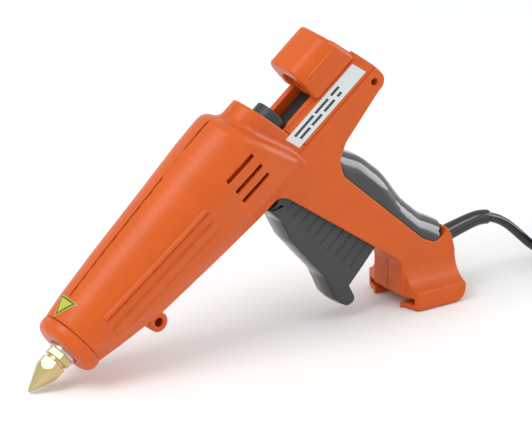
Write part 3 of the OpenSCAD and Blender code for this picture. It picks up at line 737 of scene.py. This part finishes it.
def nose_field(x, y, z):
    """Ring with a groove along the top seam."""
    ring = NOSE_RING(x, np.hypot(y, z - NOSE_Z))
    ring = cut_round(ring, NOSE_BORE - np.hypot(y, z), 0.5)
    split = np.maximum(np.abs(y) - 0.3, -ring - 0.5)
    return np.maximum(ring, -np.maximum(split, -z))


def hexagon(y, z, flats, turn=0):
    """Distance to a hexagon with flats facing y, or with corners there when turned."""
    return np.maximum.reduce([np.abs(y * math.cos(a) + z * math.sin(a)) for a in
                              np.radians([turn, 60 + turn, 120 + turn])]) - flats / 2


FLANGE_FLATS, BODY_FLATS = 17, 16.4      # sizes of the nozzle's hexagons
CONE_SLOPE = math.radians(22.5)


def nozzle_field(x, y, z):
    """Flange, neck, hexagon body with a six-sided cone, and the shank in the melt chamber."""
    r = np.hypot(y, z)
    flange = cut_round(hexagon(y, z, FLANGE_FLATS), slab(x, 28.5, 33.5), 0.3)
    neck = np.maximum(r - 7.1, slab(x, 24, 30))
    body = cut_round(hexagon(y, z, BODY_FLATS), slab(x, 0, 26), 0.3)
    cone = hexagon(y, z, 2 * TIP_R, 30) - np.maximum(x, 0) * math.tan(CONE_SLOPE)
    cone = cone * math.cos(CONE_SLOPE)
    turned = (r - 9.6 - 0.42 * np.minimum(x - 21, 0)) * 0.92
    body = cut_round(body, cut_round(cone, turned, 0.4), 0.25)
    body = cut_round(body, -x, 0.5)
    shank = np.maximum(r - 4.95, slab(x, 26, 51))
    solid = np.minimum(np.minimum(flange, neck), np.minimum(body, shank))
    return cut_round(solid, -np.maximum(r - np.where(x > 30, 2.5, 0.8), -1 - x), 0.1)


def washer_field(x, y, z):
    """Flat washer between the nozzle and the nose."""
    r = np.hypot(y, z)
    ring = cut_round(r - 10, slab(x, 33.5, 40), 0.5)
    return np.maximum(ring, 5.2 - r)


# ---------------------------------------------------------------- rail, carriage, collar
RAIL_TOP, RAIL_SEAM = -6, -25.75
RAIL_START = 243.4                       # where the rail's front face crosses the barrel axis
RAIL_SIDE = outline([(RAIL_START - REAR_LEAN * RAIL_SEAM, RAIL_SEAM), (320, RAIL_SEAM, 1),
                     (315.5, RAIL_TOP, 1.5), (RAIL_START - REAR_LEAN * RAIL_TOP, RAIL_TOP)])
STICK_BORE_R = 8.5
CAP_END, CAP_LEAN = 311.65, 0.225        # the cap's rear face leans much as the rail's end


def rail_field(x, y, z):
    """Track with a channel for the carriage and a hollow for the collar."""
    ay = np.abs(y)
    rail = cut_round(RAIL_SIDE(x, z), ay - SIDE, 0.8)
    rail = cut_round(rail, -np.maximum(ay - 10, -20 - z), 0.5)
    rail = cut_round(rail, -np.maximum(13.6 - ay, RAIL_TOP - 1.8 - z), 0.3)
    return np.maximum(rail, -np.maximum(np.hypot(y, z) - 12.4, x - 250))


CAP_RIBS = [(11.2, 12.8, 303), (3.2, 4.8, 306)]      # underside, top and rear end


def cap_field(x, y, z):
    """Cap with ribs and the stick's bore, on a shoe that runs in the rail."""
    ay = np.abs(y)
    section = cut_round(ay - 19.2, z - 21.8, 12.5)
    section = cut_round(section, -5.7 - z, 0.4)
    cap = cut_round(section, 274 - x, 2.2)
    cap = cut_round(cap, lean_plane(x, z, CAP_END, CAP_LEAN), 2.6)
    for low, high, end in CAP_RIBS:
        rib = np.maximum(cut_round(slab(z, low, high), slab(x, 279, end), 0.5), 12 - ay)
        cap = join_round(cap, cut_round(rib, section - 0.9, 0.4), 0.4)
    lead_in = STICK_BORE_R + np.maximum(280 - x, 0) * 4 / 6
    cap = cut_round(cap, lead_in - np.hypot(y, z), 0.3)
    shoe = np.maximum(np.maximum(ay - 9.6, slab(x, 276, 310)), slab(z, -12.5, -5))
    cap = np.minimum(cap, np.maximum(shoe, STICK_BORE_R - np.hypot(y, z)))
    cap = np.maximum(cap, -np.maximum(np.maximum(slab(x, 287, 302), ay - 3.2), z + 5.5))
    return np.maximum(cap, -np.maximum(np.hypot(x - 298, z + 10.4) - 1.05, ay - 9))


def collar_field(x, y, z):
    """Ring at the rear of the barrel that the stick goes into."""
    r = np.hypot(y, z)
    return cut_round(cut_round(r - 12, slab(x, 235, 249), 0.9), 9.7 - r, 0.5)


# ---------------------------------------------------------------- grip and trigger
GRIP_REAR = [(286.5, -160, 1), (280, -144, 24), (277, -123, 60), (278.8, -97, 60),
             (275, -75, 40), (267, -58, 12)]
GRIP = [(266, -53, 0.5), (259.5, -56.5, 6), (255, -67.5, 8), (268, -152, 8), (272.5, -162, 5),
        (281, -165, 4)] + GRIP_REAR
GRIP_BACK = [(200, -40), (200, -175), (286.5, -175)] + GRIP_REAR + [(262, -48), (262, -40)]
grip_outline, grip_back = outline(GRIP), outline(GRIP_BACK)
GRIP_ROUND = 14                          # radius between the grip's sides and its back


def grip_field(x, y, z):
    """Insert in the handle's back, rounded towards its sides."""
    skin = cut_round(grip_back(x, z), np.abs(y) - SIDE + 0.1, GRIP_ROUND)
    return cut_round(grip_outline(x, z), skin, 0.5)


BLADE_FRONT = [(202, -43.5, 2), (203.6, -57, 10), (199.7, -77, 18), (200.4, -100, 24),
               (201.3, -117, 14), (196.4, -136.5, 8), (199, -146.3, 5)]
BLADE = BLADE_FRONT + [(206.8, -148, 4), (209.5, -135.6, 0.5), (226, -133.2), (240.7, -130.8),
                       (234, -90), (227, -58, 3), (226, -39, 3), (212, -39, 3), (211, -44, 3)]
PAD_BACK = [(202.2, -143.5), (200, -136, 6), (204.6, -117, 14), (203.6, -100, 24),
            (203, -77, 18), (206.8, -58, 10), (205, -44.5)]
PAD = [(x - 3, z, *r) for x, z, *r in BLADE_FRONT] + PAD_BACK
blade_outline, pad_outline = outline(BLADE), outline(PAD)
PAD_HALF = 10.3
DRIVE = (222.656, -16.224)               # middle of the drive pin at rest
ARM = [(DRIVE[0] - 4.6, DRIVE[1] - 2, 3), (211.5, -44, 2), (214, -56, 2), (228, -56, 2),
       (228, -40, 3), (DRIVE[0] + 4.6, DRIVE[1] - 2, 2), (DRIVE[0] + 4.6, DRIVE[1] + 4, 4),
       (DRIVE[0] - 4.6, DRIVE[1] + 4, 4)]
arm_outline = outline(ARM)
HOLLOW = outline([(209.5, -56), (206.2, -77), (206.4, -100), (207.4, -117), (206, -128),
                  (226, -128), (230, -140), (250, -140), (250, -30), (208, -30), (208.5, -44)])
GROOVES = 10
# Height of the first groove at x = 225, the spacing, and how much more each one leans
GROOVE_TOP, GROOVE_PITCH, GROOVE_FAN = -53.2, 7.95, 0.014
GROOVE_HALF = 0.6


def blade_field(x, y, z):
    """Grooved cheeks with a hollow between them, arms to the drive pin and a seat for the pad."""
    ay = np.abs(y)
    blade = cut_round(blade_outline(x, z), ay - TRIGGER_HALF, 0.7)
    blade = np.maximum(blade, -np.maximum(pad_outline(x, z) - 0.2, ay - PAD_HALF - 0.25))
    arm = np.maximum(arm_outline(x, z), slab(ay, TRIGGER_HALF - 3, TRIGGER_HALF))
    blade = np.minimum(blade, arm)
    blade = np.maximum(blade, -np.maximum(HOLLOW(x, z), ay - TRIGGER_HALF + 2.5))
    for i in range(GROOVES):
        line = z - GROOVE_TOP + GROOVE_PITCH * i - GROOVE_FAN * i * (x - 225)
        groove = np.maximum(np.maximum(np.abs(line) - GROOVE_HALF, 210.5 + 0.08 * i * i - x),
                            TRIGGER_HALF - 0.8 - ay + 1.2 * np.abs(line))
        blade = np.maximum(blade, -groove)
    recess = np.maximum(np.abs(z + 45.4 + 0.5 * (x - 204.5)) - 0.9, slab(x, 203.2, 211))
    blade = np.maximum(blade, -np.maximum(recess, 10 - ay))
    for (px, pz), r in ((PIVOT, 2.56), (DRIVE, 2)):
        blade = np.maximum(blade, r - np.hypot(x - px, z - pz))
    return blade


def pad_field(x, y, z):
    """Front of the trigger, slightly crowned across its width."""
    ay = np.abs(y)
    crown = 1.1 * (1 - (ay / PAD_HALF) ** 2) + 0.1
    front = blade_outline(x, z) - crown
    return cut_round(cut_round(pad_outline(x, z), front, 0.6), ay - PAD_HALF, 0.5)


# ---------------------------------------------------------------- labels
def prism(corners, y0, y1):
    """Points and faces of a flat plate across the gun, in the gun frame."""
    n = len(corners)
    points = [(x, y, z) for y in (y0, y1) for x, z in corners]
    sides = [(i, (i + 1) % n, n + (i + 1) % n, n + i) for i in range(n)]
    return points, [tuple(range(n))[::-1], tuple(range(n, 2 * n))] + sides


LABEL = [(244, -22.5), (312.5, -22.5), (309, -9.5), (240.5, -9.5)]


def make_data_label(paper, ink):
    """Plain pale label with a few unlettered bars."""
    plates = [(LABEL, -SIDE - 0.28, -SIDE + 0.05, 0)]
    for low, bars in ((-14.6, [(247, 266), (268, 281), (284, 292)]),
                      (-19.2, [(249, 259), (261, 271), (273.5, 284), (287, 291)])):
        for a, b in bars:
            plates.append(([(a, low), (b, low), (b - 0.6, low + 2.2), (a - 0.6, low + 2.2)],
                           -SIDE - 0.3, -SIDE - 0.2, 1))
    points, faces, kinds = [], [], []
    for corners, y0, y1, kind in plates:
        p, f = prism(corners, y0, y1)
        faces += [tuple(v + len(points) for v in face) for face in f]
        kinds += [kind] * len(f)
        points += p
    label = new_object("data_label_plate", to_row(np.array(points)), faces, paper, smooth=False)
    label.data.materials.append(ink)
    label.data.polygons.foreach_set("material_index", kinds)
    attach(label, "gun")
    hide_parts("data_label")


TRIANGLE = [(46.8, 0.3), (63, 8.8), (62, -10.2)]


def make_heat_label(border, line, centre):
    """Curved triangular label with a border and no symbol."""
    corners = np.array(TRIANGLE, float)
    middle = corners.mean(0)
    per_side = 10
    points, faces, kinds = [], [], []
    edge = np.array([corners[i] + (corners[(i + 1) % 3] - corners[i]) * k / per_side
                     for i in range(3) for k in range(per_side)])
    n = len(edge)

    def ring(scale, lift):
        p = middle + (edge - middle) * scale
        half, height, _, _ = section_values(BARREL, p[:, 0])
        top = height + np.sqrt((half + lift) ** 2 - p[:, 1] ** 2)
        points.extend(np.c_[p[:, 0], p[:, 1], top])

    ring(1, -0.2)
    for scale in (1, 0.86, 0.64, 0.5, 0.25, 0.01):
        ring(scale, 0.22)
    for level, kind in enumerate((0, 0, 1, 2, 2, 2)):
        for k in range(n):
            a, b = level * n + k, level * n + (k + 1) % n
            faces.append((a, b, b + n, a + n))
            kinds.append(kind)
    label = new_object("heat_label_film", to_row(np.array(points)), faces, border, smooth=False)
    for material in (line, centre):
        label.data.materials.append(material)
    label.data.polygons.foreach_set("material_index", kinds)
    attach(label, "gun")
    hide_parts("heat_label")


# ---------------------------------------------------------------- the whole gun
def dress_cad_nodes(finishes):
    """Gives every CAD node the finish of its record slot."""
    for part in frame["record"]["subparts"]:
        mesh = frame["nodes"][part["node"]].data
        mesh.materials.clear()
        mesh.materials.append(finishes[part["material_slot"]])


make_camera()
make_studio()
finishes = make_finishes()
orange, charcoal = finishes["orange_housing"], finishes["trigger_plastic"]
cord, cord_line = make_cord(finishes["cord_rubber"])
relief = make_strain_relief(finishes["cord_rubber"])
cord_length = float(np.linalg.norm(np.diff(cord_line, axis=0), axis=1).sum())
tuple(cord_line[0])
housing_half("housing_left", 1, orange)
housing_half("housing_right", -1, orange)
make_part("nose_cap", "nose_ring", nose_field, (34.5, -24.5, -23), (47, 24.5, 26), 0.5, orange)
make_part("nozzle", "nozzle_body", nozzle_field, (-1, -10.5, -10.5), (52, 10.5, 10.5), 0.3,
          finishes["brass"])
make_part("nozzle_washer", "washer_ring", washer_field, (33, -11, -11), (41, 11, 11), 0.4,
          finishes["bright_steel"])
make_part("feed_rail", "rail_track", rail_field, (243, -18, -27), (321, 18, -5), 0.6, orange)
make_part("carriage_cap", "cap_moulding", cap_field, (273, -21, -14), (314, 21, 23), 0.6, orange,
          "carriage")
make_part("inlet_collar", "collar_ring", collar_field, (234, -13, -13), (250, 13, 13), 0.5,
          finishes["black_plastic"])
make_part("grip_insert", "grip_rubber_insert", grip_field, (250, -18, -167), (288, 18, -48), 0.7,
          finishes["grip_rubber"])
make_part("trigger_blade", "trigger_cheeks", blade_field, (194, -13, -150), (243, 13, -10), 0.5,
          charcoal, "trigger")
make_part("trigger_pad", "trigger_front", pad_field, (192, -12.5, -151), (210, 12.5, -41), 0.5,
          finishes["pad_gloss"], "trigger")
make_data_label(finishes["label_grey"], charcoal)
make_heat_label(finishes["label_yellow"], finish_of("label_line", (0.05, 0.10, 0.02), 0.4),
                finish_of("label_centre", (0.50, 0.46, 0.035), 0.35))
dress_cad_nodes(finishes)
